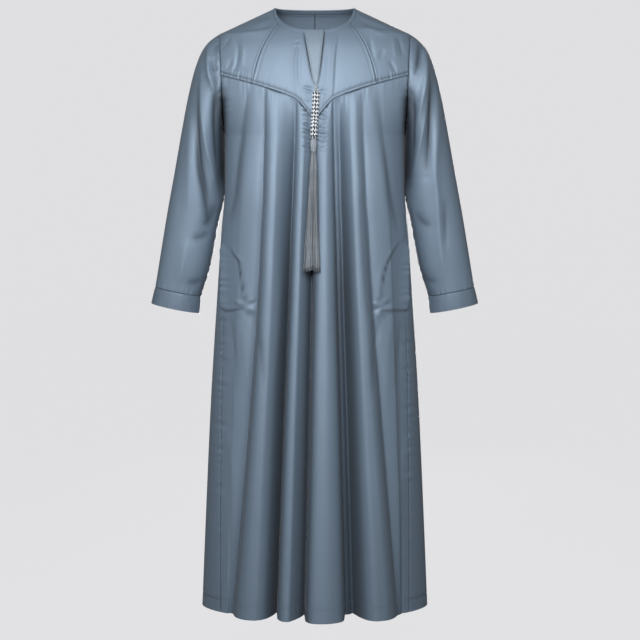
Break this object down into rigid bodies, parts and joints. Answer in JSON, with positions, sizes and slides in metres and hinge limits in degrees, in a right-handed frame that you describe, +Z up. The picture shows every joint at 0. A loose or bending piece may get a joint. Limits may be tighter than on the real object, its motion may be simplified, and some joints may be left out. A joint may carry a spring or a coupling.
{
  "type": "thobe robe",
  "caption": "Long collarless robe with set-in sleeves, a front yoke, a tapered placket tongue with a braided cord and tassel, side pockets and a pleated skirt, filled out as worn.",
  "frame": {"origin": "midway between the two points where the shoulder line meets the neck, where the wearer's shoulders hold it", "axes": "+Z up towards the neck, the front faces -Y, the wearer's left sleeve is on +X"},
  "size_m": [0.7744, 0.3531, 1.4222],
  "materials": {
    "robe_cloth": "smooth plain weave with a soft satin sheen, slate blue-grey",
    "tongue_cloth": "mottled woven cloth, pale grey-blue, edge stitched",
    "braid": "checkered braid of silver and black silk",
    "tassel_silk": "combed silver-grey silk threads"
  },
  "bodies": {
    "root": {"front_skirt": "robe_cloth", "yoke_centre": "robe_cloth", "yoke_side_left": "robe_cloth", "yoke_side_right": "robe_cloth", "back_left": "robe_cloth", "back_right": "robe_cloth", "sleeve_left": "robe_cloth", "sleeve_right": "robe_cloth", "cuff_left": "robe_cloth", "cuff_right": "robe_cloth", "pocket_bag_left": "robe_cloth", "pocket_bag_right": "robe_cloth", "neck_binding": "robe_cloth", "placket_tongue": "tongue_cloth", "braid_cord": "braid", "strand_left": "braid", "strand_right": "braid", "tassel_cap": "tassel_silk", "tassel_skirt": "tassel_silk"}
  },
  "joints": []
}
